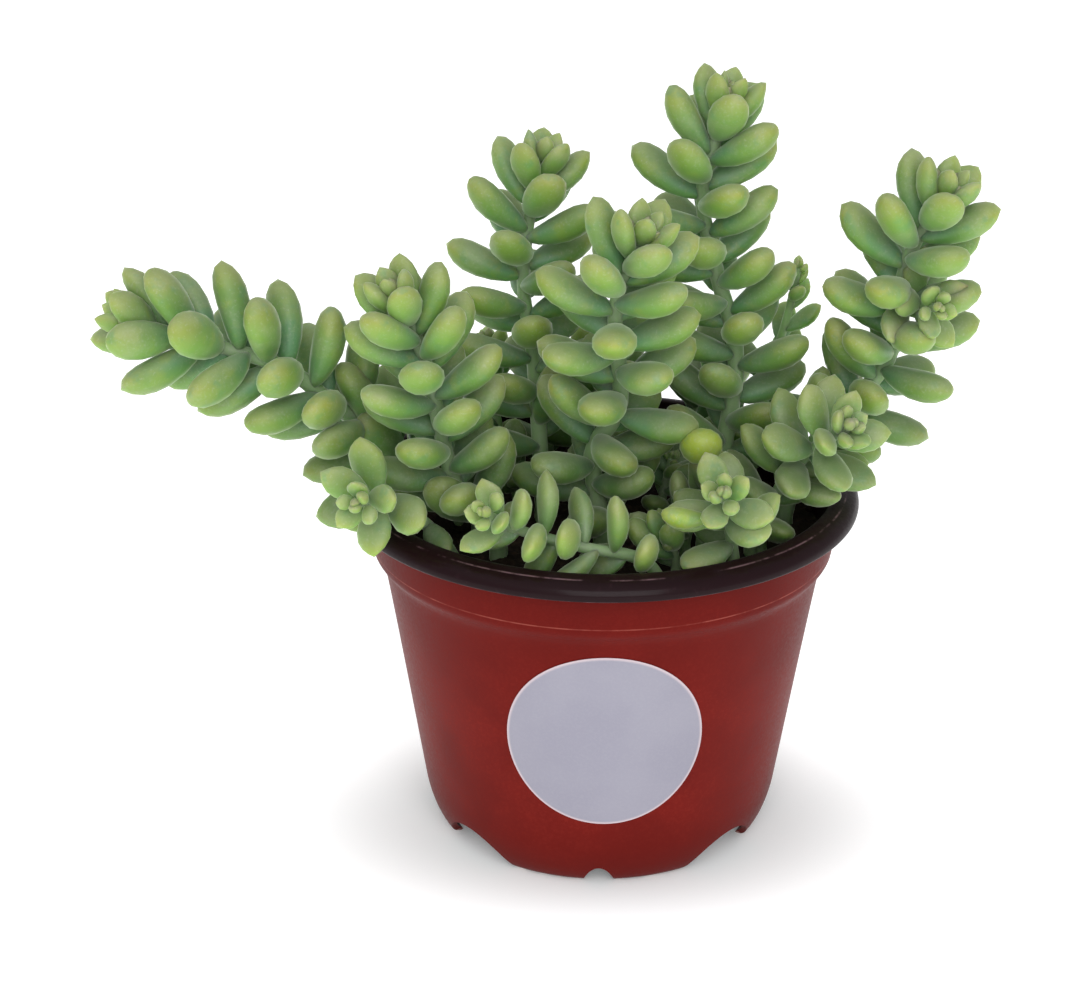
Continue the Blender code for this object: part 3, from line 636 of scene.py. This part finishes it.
def fleshTree():
    g, asked = startTree("burrosTailFlesh", fleshForm)

    def named(name, kind="FLOAT"):
        return g.node("GeometryNodeInputNamedAttribute", {"Name": name}, data_type=kind)

    def stored(geometry, name, value, kind="FLOAT"):
        return g.node("GeometryNodeStoreNamedAttribute", {"Geometry": geometry, "Name": name, "Value": value},
                      data_type=kind, domain="POINT")

    def between(young, full):
        return asked[young] + (asked[full] - asked[young]) * named("age")

    # one leaf as a ball that remembers its rings, and a copy of it at each root
    ball = g.node("GeometryNodeMeshUVSphere", {
        "Segments": asked["Leaf sides"], "Rings": asked["Leaf rings"], "Radius": 1.0}, "Mesh")
    ball = stored(ball, "ball", g.node("GeometryNodeInputPosition"), "FLOAT_VECTOR")
    isLeaf = named("leafLength") > 0.0
    split = g.node("GeometryNodeSeparateGeometry", {
        "Geometry": asked["Geometry"], "Selection": isLeaf}, "Selection", domain="POINT")
    tint = g.node("FunctionNodeRandomValue", {"Seed": asked["Seed"]}, 1, data_type="FLOAT")
    roots = stored(split, "tint", tint)
    leaves = g.node("GeometryNodeInstanceOnPoints", {"Points": roots, "Instance": ball})
    leaves = g.node("GeometryNodeRealizeInstances", {"Geometry": leaves})

    # each ball is drawn out along its leaf's own direction, from its root to its tip, and is
    # squarer than a ball at both ends
    x, y, z = g.parts(named("ball", "FLOAT_VECTOR"))
    t = z * 0.5 + 0.5
    reach = t + asked["Bulge"] * g.maths("SINE", t * math.pi)
    ring = g.maths("MAXIMUM", g.maths("SQRT", x * x + y * y), 0.05)
    square = g.limits(t, 0.3, 0.8, -1 * asked["Square root"], -1 * asked["Blunt tip"])
    girth = ring ** (square * named("age")) * (asked["Narrow root"] + asked["Full tip"] * reach)
    girth = girth * (1 - between("Young point", "Grown point") * reach ** 5)
    pressed = g.node("GeometryNodeSwitch", {
        "Switch": x > 0.0, "False": 1.0, "True": between("Young flat top", "Grown flat top")},
        input_type="FLOAT")
    aim, up = named("aim", "FLOAT_VECTOR"), named("up", "FLOAT_VECTOR")
    side = g.vectors("CROSS_PRODUCT", up, aim)
    length = named("leafLength")
    spike = asked["Tip spike"]
    onward = g.stretched(aim, length * (reach + spike * t ** 40 - spike * reach))
    across = g.stretched(side, y * girth * named("halfWidth"))
    bend = asked["Bend"] * length * reach * reach
    above = g.stretched(up, x * girth * pressed * named("halfThick") + bend)
    middle = g.vectors("ADD", named("root", "FLOAT_VECTOR"), onward)
    place = g.vectors("ADD", middle, g.vectors("ADD", across, above))
    leaves = stored(leaves, "along", reach)
    leaves = g.node("GeometryNodeSetPosition", {"Geometry": leaves, "Position": place})
    leaves = stored(leaves, "onStem", 0.0)

    # the stem, along the host's edges
    bare = Value(g, split.socket.node.outputs["Inverted"])
    line = g.node("GeometryNodeMeshToCurve", {"Mesh": bare})
    line = g.node("GeometryNodeSetCurveRadius", {"Curve": line, "Radius": named("stemRadius")})
    circle = g.node("GeometryNodeCurvePrimitiveCircle", {
        "Resolution": asked["Stem sides"], "Radius": 1.0})
    tube = g.node("GeometryNodeCurveToMesh", {
        "Curve": line, "Profile Curve": circle, "Fill Caps": True, "Scale": named("stemRadius")})
    tube = stored(stored(stored(tube, "onStem", 1.0), "age", 1.0), "tint", 0.5)

    both = g.node("GeometryNodeJoinGeometry")
    for piece in (tube, leaves):
        g.feed(both.socket.node.inputs[0], piece)
    blots = g.node("ShaderNodeTexNoise", {
        "Vector": g.node("GeometryNodeInputPosition"), "Scale": 1 / asked["Wobble size"], "Detail": 1.0})
    push = g.stretched(g.node("GeometryNodeInputNormal"), (blots - 0.5) * 2 * asked["Wobble"])
    grown = g.node("GeometryNodeSetPosition", {"Geometry": both, "Offset": push})
    grown = g.node("GeometryNodeSetShadeSmooth", {"Geometry": grown, "Shade Smooth": True})
    return endTree(g, grown, asked["Skin"])


def hostMesh(name, limbs):
    # leaf roots as loose points and stems as chains of edges, with what the tree reads
    points, edges = [], []
    facts = {key: [] for key in ("leafLength", "halfWidth", "halfThick", "age", "stemRadius", "aim", "up",
                                 "root")}

    def note(point, sizes=(0.0, 0.0, 0.0), age=1.0, radius=0.0, aim=(0, 0, 1), up=(1, 0, 0)):
        points.append(spot(*point))
        noted = (*[size * mm for size in sizes], age, radius * mm, aim, up, spot(*point))
        for key, value in zip(facts, noted):
            facts[key].append(value)

    for stem, leaves in limbs:
        for i, (point, distance) in enumerate(zip(stem.points, stem.along)):
            if i:
                edges.append((len(points) - 1, len(points)))
            note(point, radius=stem.radiusAt(distance))
        for leaf in leaves:
            sizes = (leaf.length, leaf.halfWidth, leaf.halfThick)
            note(leaf.root, sizes, leaf.age, aim=leaf.out, up=leaf.up)
    mesh = bpy.data.meshes.new(name)
    mesh.from_pydata(points, edges, [])
    for key, values in facts.items():
        isVector = key in ("aim", "up", "root")
        attribute = mesh.attributes.new(key, "FLOAT_VECTOR" if isVector else "FLOAT", "POINT")
        attribute.data.foreach_set("vector" if isVector else "value", np.array(values, np.float32).ravel())
    return mesh


def grown(name, mesh, tree, form, skin):
    # the host goes through the tree and comes back as a plain mesh
    host = addPiece(name + "Host", mesh)
    grower = host.modifiers.new("grow", "NODES")
    grower.node_group = tree
    for item in tree.interface.items_tree:
        if item.in_out == "INPUT" and item.name in form:
            value = form[item.name]
            grower[item.identifier] = skin if value is None else value
    return addPiece(name, plain(host, name))


def plain(host, name):
    # the object as its modifiers leave it, as a plain mesh
    bpy.context.view_layer.update()
    mesh = bpy.data.meshes.new_from_object(host.evaluated_get(bpy.context.evaluated_depsgraph_get()))
    host.modifiers.clear()
    bpy.data.objects.remove(host)
    mesh.name = name
    return mesh


def addPiece(name, data):
    piece = bpy.data.objects.new(name, data)
    bpy.context.scene.collection.objects.link(piece)
    return piece


def makeShoots():
    crowd = Crowd()
    whole = {}
    for owner, (name, shoot) in enumerate(shoots.items()):
        limbs = [shoot, shoot["branch"]] if "branch" in shoot else [shoot]
        whole[name] = [(limb, Stem(limb)) for limb in limbs]
        for _, stem in whole[name]:
            crowd.add(owner, stem.balls())
    tree = fleshTree()
    skin = leafFinish("leafSkin", leafLook)
    count = 0
    for owner, (name, limbs) in enumerate(whole.items()):
        fleshed = []
        for number, (shoot, stem) in enumerate(limbs):
            foot = 0 if number else stemForm["mouth"] - stemForm["holeFloor"]
            leaves = growLeaves(owner, shoot, stem, foot, crowd)
            fleshed.append((stem, leaves + growBuds(shoot, stem)))
        piece = grown(name + "_flesh", hostMesh(name, fleshed), tree, fleshForm, skin)
        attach(piece, "root")
        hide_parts(name)
        count += sum(len(leaves) for _, leaves in fleshed)
    print("shoots grown, leaves:", count)
    return crowd, tree, skin


# young sprouts wherever the peat would lie open, planted by rule. tall: the least height, and
# what chance adds, as shares of height. room: heights of the balls that have to be clear
sproutForm = dict(
    tries=420, reach=40.0, girth=3.4, height=10.5, tall=(0.7, 0.6), room=(4.0, 7.0),
    lean=2.5, rooted=5, bareFoot=4.5, chance=0.618, turnStep=47, firstOwner=1000,
    shoot=dict(leaf=10.5, spacing=2.1, tilt=62, lift=0.15, bare=0.5, radius=1.1, grown=9, open=10,
               ripe=0.8, broad=1.05))


def plantSprouts(crowd, tree, skin):
    form = sproutForm
    least, more = form["tall"]
    limbs = []
    for i in range(form["tries"]):
        reach = form["reach"] * math.sqrt((i + 0.5) / form["tries"])
        around = math.radians(leafForm["goldenAngle"] * i)
        x, y = reach * math.cos(around), reach * math.sin(around)
        tall = form["height"] * (least + more * (i * form["chance"] % 1))
        owner = form["firstOwner"] + i
        column = [(x, y, soilTop + rise, form["girth"]) for rise in (*form["room"], tall)]
        if not crowd.isClear(owner, column):
            continue
        path = [(x, y, soilTop - form["rooted"]), (x, y, soilTop - 0.5),
                (x + form["lean"] * math.cos(around), y - form["lean"], soilTop + tall)]
        sprout = {**form["shoot"], "path": path, "turn": (i * form["turnStep"] % 360, 1)}
        stem = Stem(sprout)
        crowd.add(owner, stem.balls())
        leaves = growLeaves(owner, sprout, stem, form["bareFoot"], crowd)
        limbs.append((stem, leaves + growBuds(sprout, stem)))
    piece = grown("sprouts_flesh", hostMesh("sprouts", limbs), tree, fleshForm, skin)
    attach(piece, "root")
    print("sprouts planted:", len(limbs), "faces:", len(piece.data.polygons))


# single leaves: root, direction, length, breadth and thickness
singleForm = dict(
    turnedLeaves=[((18.3, -10.5, 83.4), (0.0, -1.0, 0.3), 11.5, 1.45, 1.7),
                  ((19.5, -35.0, 78.6), (-1.0, -0.35, 0.1), 9.5, 1.25, 1.2)],
    rimLeaves=[((35.0, -10.5, 76.0), (0.97, 0.2, 0.14), 14.5, 1.0, 1.0),
               ((34.2, -10.0, 74.6), (0.8, -0.58, 0.14), 12.5, 1.0, 1.0)])
singleStalks = dict(
    turnedLeaves=[(19, -9, 60), (19, -9, 64), (19.5, -9.5, 76), (19.2, -10, 83)],
    rimLeaves=[(31, -9, 60), (31, -9, 64), (34, -10, 73), (35.2, -10.8, 77)])


def addSingleLeaves(name, tree, skin):
    leaves = []
    for root, out, length, broad, plump in singleForm[name]:
        leaf = Leaf(Vector(root), Vector(out).normalized(), Vector((0, 0.3, 1)), length, 1.0, broad)
        leaf.halfThick *= plump
        leaves.append(leaf)
    stem = Stem({"path": singleStalks[name], "radius": 1.0})
    piece = grown(name, hostMesh(name, [(stem, leaves)]), tree, fleshForm, skin)
    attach(piece, "root")
    print(name, "added")


crowd, flesh, leafSkin = makeShoots()
plantSprouts(crowd, flesh, leafSkin)
addSingleLeaves("turnedLeaves", flesh, leafFinish("turnedLeafSkin", turnedLook))
addSingleLeaves("rimLeaves", flesh, leafSkin)


def bodyRadius(z):
    form = potForm
    slope = (form["bodyTopRadius"] - form["bodyFootRadius"]) / (form["bodyTop"] - form["bodyFoot"])
    return form["bodyFootRadius"] + (z - form["bodyFoot"]) * slope


def rounded(points):
    # corner cutting: each turn trims every inner corner by a quarter of its sides
    for _ in range(potForm["roundings"]):
        cut = [points[0]]
        for (ax, ay), (bx, by) in zip(points, points[1:]):
            cut.append((ax * 0.75 + bx * 0.25, ay * 0.75 + by * 0.25))
            cut.append((ax * 0.25 + bx * 0.75, ay * 0.25 + by * 0.75))
        cut.append(points[-1])
        points = cut
    return points


def potProfile():
    # radius and height, from the lip down the outside and from the base up the inside
    form = potForm
    top, lip, wall = potHeight, lipRadius, form["wall"]
    collar, collarFoot, foot = form["collarRadius"], form["collarFoot"], form["footRadius"]
    bodyTop, bodyFoot, under = form["bodyTop"], form["bodyFoot"], form["underside"]
    wide, narrow = form["bodyTopRadius"], form["bodyFootRadius"]
    baseTop = under + form["base"]
    lipDown = [(44.7, top - 1.2), (44.9, top), (46.4, top + 0.05), (49.0, top - 0.9), (lip, top - 2.3),
               (lip, top - 3.7), (lip - 0.9, top - 3.7), (lip - 1.5, top - 2.3), (collar + 0.4, top - 1.7),
               (collar, top - 2.4), (collar - 0.1, top - 4.0)]
    side = [(collar - 0.35, 65.0), (collar - 0.6, collarFoot + 0.8), (collar - 0.9, collarFoot - 0.6),
            (wide + 0.7, collarFoot - 2.0), (wide, bodyTop - 0.6),
            (bodyRadius(40), 40), (bodyRadius(20), 20), (bodyRadius(11), 11),
            (narrow, bodyFoot), (foot + 4.25, 7.2), (foot + 3.8, 5.6), (foot + 3.1, 3.6),
            (foot + 2.1, 1.6), (foot + 1.1, 0.5), (foot, 0.0)]
    beneath = [(foot - 1.1, 0.0), (foot + 0.9, 1.8), (foot + 2.1, 4.2), (foot + 2.5, under),
               (foot - 2, under)]
    above = [(foot, baseTop), (foot + 2.9, baseTop), (narrow - wall, bodyFoot + 1.2),
             (bodyRadius(20) - wall, 20), (bodyRadius(40) - wall, 40),
             (wide - wall, bodyTop - 0.4), (wide - 0.2, collarFoot - 1.7),
             (collar - 0.7 - wall, collarFoot + 0.6), (collar - 1.1, 65.0), (44.7, top - 1.2)]
    outer = rounded(lipDown + side + beneath)
    return outer + [(0.0, under)], [(0.0, baseTop)] + rounded(above)


def turnedPot():
    # its section, down the outside to the axis and up the inside, turned with the screw modifier
    down, up = potProfile()
    both = down + up[:-1]
    edges = [(i, (i + 1) % len(both)) for i in range(len(both)) if i != len(down) - 1]
    mesh = bpy.data.meshes.new("potHost")
    mesh.from_pydata([Vector((r, 0, z)) * mm for r, z in both], edges, [])
    host = addPiece("potHost", mesh)
    screw = host.modifiers.new("turn", "SCREW")
    screw.steps = screw.render_steps = potForm["steps"]
    screw.use_merge_vertices = True
    screw.merge_threshold = 0.00001
    return host


def archCutter(width, height, turn):
    # a bar whose arched section passes through both sides of the foot
    form = potForm
    bm = bmesh.new()
    rise = [math.pi * i / form["archSteps"] for i in range(form["archSteps"] + 1)]
    arch = [(width / 2 * math.cos(a), height * math.sin(a) ** form["archPower"]) for a in rise]
    outline = [(width / 2, form["barFoot"]), *arch, (-width / 2, form["barFoot"])]
    near = -form["barLength"] / 2
    face = bm.faces.new([bm.verts.new(Vector((x, near, z)) * mm) for x, z in outline])
    swept = bmesh.ops.extrude_face_region(bm, geom=[face])["geom"]
    far = [item for item in swept if isinstance(item, bmesh.types.BMVert)]
    bmesh.ops.translate(bm, vec=(0, form["barLength"] * mm, 0), verts=far)
    bmesh.ops.rotate(bm, verts=bm.verts, matrix=Matrix.Rotation(math.radians(turn), 3, "Z"))
    bmesh.ops.recalc_face_normals(bm, faces=bm.faces)
    return fromBmesh("arch", bm)


def drainCutter(turn):
    form = potForm
    around = math.radians(turn)
    centre = Vector((math.cos(around), math.sin(around), 0)) * form["drainCircle"]
    centre.z = form["drainMiddle"]
    bm = bmesh.new()
    bmesh.ops.create_cone(
        bm, cap_ends=True, segments=32, radius1=form["drainRadius"] * mm, radius2=form["drainRadius"] * mm,
        depth=form["drainDepth"] * mm, matrix=Matrix.Translation(centre * mm))
    return fromBmesh("drain", bm)


def fromBmesh(name, bm):
    mesh = bpy.data.meshes.new(name)
    bm.to_mesh(mesh)
    bm.free()
    return addPiece(name, mesh)


def surfaced(mesh, material, sharp):
    mesh.shade_smooth()
    mesh.set_sharp_from_angle(angle=math.radians(sharp))
    mesh.materials.clear()
    mesh.materials.append(material)


def makePot():
    form = potForm
    host = turnedPot()
    cutters = [archCutter(form["scallopWidth"], form["scallopHeight"], turn)
               for turn in (form["scallopTurn"], -form["scallopTurn"])]
    cutters += [archCutter(form["notchWidth"], form["notchHeight"], turn) for turn in (0, 90)]
    cutters += [drainCutter(360 * i / form["drainCount"] + form["drainTurn"])
                for i in range(form["drainCount"])]
    for cutter in cutters:
        cut = host.modifiers.new("cut", "BOOLEAN")
        cut.operation = "DIFFERENCE"
        cut.solver = "EXACT"
        cut.object = cutter
    mesh = plain(host, "potShell")
    for cutter in cutters:
        bpy.data.objects.remove(cutter)
    mesh.transform(Matrix.Translation(potFoot))
    surfaced(mesh, potFinish(), form["sharp"])
    pot = addPiece("potShell", mesh)
    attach(pot, "root")
    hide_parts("pot")
    print("pot made")


makePot()


def bridged(bm, inner, outer):
    # a band of faces between two rings of as many points
    for i in range(len(inner)):
        j = (i + 1) % len(inner)
        bm.faces.new([inner[i], outer[i], outer[j], inner[j]])


def fanned(bm, middle, ring):
    for i, vert in enumerate(ring):
        bm.faces.new([middle, vert, ring[(i + 1) % len(ring)]])


def circled(reach, count):
    turns = [2 * math.pi * i / count for i in range(count)]
    return [(reach * math.cos(turn), reach * math.sin(turn)) for turn in turns]


labelForm = dict(
    radius=19.1, x=0.9, z=34.7, thickness=0.22, off=0.16, rings=24, spokes=96, edge=0.97, edgeFall=0.1,
    sharp=50)


def makeLabel():
    # a disc of rings, wrapped round the pot's cone, with its edge turned down to the wall
    form = labelForm
    bm = bmesh.new()
    rim = bm.verts.layers.float.new("rim")
    shares = [math.sin(math.pi / 2 * (i + 1) / form["rings"]) for i in range(form["rings"])]

    def wrapped(across, up, off):
        z = form["z"] + up
        radius = bodyRadius(z) + off
        around = (form["x"] + across) / radius
        return spot(radius * math.sin(around), -radius * math.cos(around), z)

    def layer(off, fall):
        rows = []
        for share in shares:
            lowered = off - fall * max(0.0, share - form["edge"]) / (1 - form["edge"])
            around = circled(form["radius"] * share, form["spokes"])
            row = [bm.verts.new(wrapped(x, z, lowered)) for x, z in around]
            for vert in row:
                vert[rim] = share
            rows.append(row)
        return rows

    front = layer(form["off"] + form["thickness"], form["edgeFall"])
    back = layer(form["off"], 0.0)
    for rows in (front, back):
        for inner, outer in zip(rows, rows[1:]):
            bridged(bm, inner, outer)
        middle = bm.verts.new(sum((v.co for v in rows[0]), Vector()) / form["spokes"])
        fanned(bm, middle, rows[0])
    bridged(bm, back[-1], front[-1])
    bmesh.ops.recalc_face_normals(bm, faces=bm.faces)
    label = fromBmesh("labelDisc", bm)
    surfaced(label.data, paperFinish(), form["sharp"])
    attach(label, "root")
    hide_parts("label")
    print("label made")


makeLabel()


# wall: radius and height of the soil's side, down to the pot's base. sink: how far the top lies
# under the packed soil's. fractal: what the noise of the lumps takes after its place
soilForm = dict(
    radius=43.6, rings=60, spokes=150, lump=1.5, lumpScale=0.16, sink=1.2, fractal=(0.7, 2.1, 5),
    wall=((43.6, 60.4), (42.0, 57.5), (41.4, 56.0), (34.0, 10.4), (33.0, 8.85)))


def makeSoil():
    form = soilForm
    level = soilTop - form["sink"]
    bm = bmesh.new()
    rows = []
    for ring in range(1, form["rings"] + 1):
        row = []
        for x, y in circled(form["radius"] * ring / form["rings"], form["spokes"]):
            lump = noise.fractal(Vector((x, y, 3)) * form["lumpScale"], *form["fractal"]) * form["lump"]
            row.append(bm.verts.new(spot(x, y, level + lump)))
        rows.append(row)
    for inner, outer in zip(rows, rows[1:]):
        bridged(bm, inner, outer)
    fanned(bm, bm.verts.new(spot(0, 0, level)), rows[0])
    lastRow = rows[-1]
    for radius, z in form["wall"]:
        row = [bm.verts.new(spot(x, y, z)) for x, y in circled(radius, form["spokes"])]
        bridged(bm, lastRow, row)
        lastRow = row
    bm.faces.new(lastRow)
    bmesh.ops.recalc_face_normals(bm, faces=bm.faces)
    soil = fromBmesh("soilBody", bm)
    soil.data.shade_smooth()
    peat = peatFinish()
    soil.data.materials.append(peat)
    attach(soil, "root")
    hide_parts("soil")
    print("soil made")
    return soil, peat


crumbForm = {
    "Density": 260000.0, "Smallest": 0.5 * mm, "Largest": 1.7 * mm, "Least dent": 0.55, "Dent depth": 0.8,
    "Dent scale": 1.3, "Breadth": 0.75, "Thickness": 0.6, "Seed": 11, "Skin": None}


def crumbTree():
    g, asked = startTree("peatCrumbs", crumbForm)
    upward = g.parts(g.node("GeometryNodeInputNormal"))[2] > 0.5
    spots = g.node("GeometryNodeDistributePointsOnFaces", {
        "Mesh": asked["Geometry"], "Selection": upward, "Density": asked["Density"], "Seed": asked["Seed"]})
    rock = g.node("GeometryNodeMeshIcoSphere", {"Radius": 1.0, "Subdivisions": 2}, "Mesh")
    here = g.node("GeometryNodeInputPosition")
    dents = g.node("ShaderNodeTexNoise", {"Vector": here, "Scale": asked["Dent scale"]})
    dented = g.stretched(here, asked["Least dent"] + asked["Dent depth"] * dents)
    rock = g.node("GeometryNodeSetPosition", {"Geometry": rock, "Position": dented})
    turn = g.node("FunctionNodeRandomValue", {
        "Min": (0, 0, 0), "Max": (6.28, 6.28, 6.28), "Seed": asked["Seed"]}, data_type="FLOAT_VECTOR")
    size = g.node("FunctionNodeRandomValue", {
        2: asked["Smallest"], 3: asked["Largest"], "Seed": asked["Seed"] + 1}, 1, data_type="FLOAT")
    flattened = g.node("ShaderNodeCombineXYZ", {
        "X": size, "Y": size * asked["Breadth"], "Z": size * asked["Thickness"]})
    crumbs = g.node("GeometryNodeInstanceOnPoints", {
        "Points": spots, "Instance": rock, "Rotation": turn, "Scale": flattened})
    return endTree(g, crumbs, asked["Skin"])


def makeCrumbs(soil, peat):
    piece = grown("soilCrumbs", soil.data.copy(), crumbTree(), crumbForm, peat)
    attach(piece, "root")
    print("crumbs scattered, faces:", len(piece.data.polygons))


makeCrumbs(*makeSoil())

# floor and glowFrom are metres, middle and cloudSize millimetres. dim: the floor's own light under
# the pot, kept low there as a painted shadow, which turns bright at the distances in glowFrom
stageForm = dict(
    floor=6.0, middle=(0, -8, 0), oval=(1.0, 1.5, 1.0), glow=0.6, glowFrom=(0.03, 0.08),
    shadowGlow=(0.17, 0.2, 0.2, 1), bright=(1, 1, 1, 1), dull=(0.90, 0.90, 0.90, 1),
    clean=(0.92, 0.92, 0.92, 1), cloudSize=400, sky=(0.97, 0.985, 1.0, 1.0), world=0.56)


def makeStage():
    form = stageForm
    bm = bmesh.new()
    bmesh.ops.create_grid(bm, x_segments=1, y_segments=1, size=form["floor"] / 2)
    floor = fromBmesh("floor", bm)
    white = Finish("floorWhite", Roughness=0.75, Specular_IOR_Level=0.2, Emission_Strength=form["glow"])
    where = white.place()
    fromPot = white.vectors("SUBTRACT", where, tuple(spot(*form["middle"])))
    wide = white.vectors("MULTIPLY", fromPot, form["oval"])
    away = white.vectors("LENGTH", wide, output="Value")
    clouds = white.noise(where, form["cloudSize"], 1)
    # painted shadow: the floor glows less in an oval round the pot
    white.wear(Base_Color=white.blend(clouds, form["dull"], form["clean"]),
               Emission_Color=white.blend(white.limits(away, *form["glowFrom"]), form["shadowGlow"], form["bright"]))
    floor.data.materials.append(white.material)
    world = bpy.data.worlds.new("softWhite")
    world.use_nodes = True
    sky = world.node_tree.nodes["Background"]
    sky.inputs["Color"].default_value = form["sky"]
    sky.inputs["Strength"].default_value = form["world"]
    bpy.context.scene.world = world
    bpy.context.scene.view_settings.view_transform = "Standard"


# size: a sun's angle in radians, or the width of an area lamp
lampForm = dict(
    overhead=dict(kind="SUN", place=(-0.5, -0.6, 1.6), aim=(0, 0, 0.06), power=0.3, size=1.2),
    front=dict(kind="AREA", place=(0.15, -1.5, 0.95), aim=(0, 0, 0.05), power=16.5, size=1.2))


def hangLamp(name):
    form = lampForm[name]
    light = bpy.data.lights.new(name, form["kind"])
    light.energy = form["power"]
    setattr(light, "angle" if form["kind"] == "SUN" else "size", form["size"])
    holder = addPiece(name, light)
    holder.location = form["place"]
    along = Vector(form["aim"]) - Vector(form["place"])
    holder.rotation_euler = along.to_track_quat("-Z", "Y").to_euler()


# distance and height in millimetres, pitch and roll in radians
cameraForm = dict(
    distance=476.2, height=267.9, pitch=0.398, roll=0.011, lens=88.27, sensor=36,
    shift=(-0.0613, -0.002), near=0.01)


def makeCamera():
    form = cameraForm
    eye = bpy.data.cameras.new("camera")
    eye.lens = form["lens"]
    eye.sensor_width = form["sensor"]
    eye.shift_x, eye.shift_y = form["shift"]
    eye.clip_start = form["near"]
    holder = addPiece("camera", eye)
    turn = Matrix.Rotation(math.pi / 2 - form["pitch"], 4, "X") @ Matrix.Rotation(form["roll"], 4, "Z")
    holder.matrix_world = Matrix.Translation(spot(0, -form["distance"], form["height"])) @ turn
    bpy.context.scene.camera = holder


makeStage()
for lampName in lampForm:
    hangLamp(lampName)
makeCamera()
print("stage set")
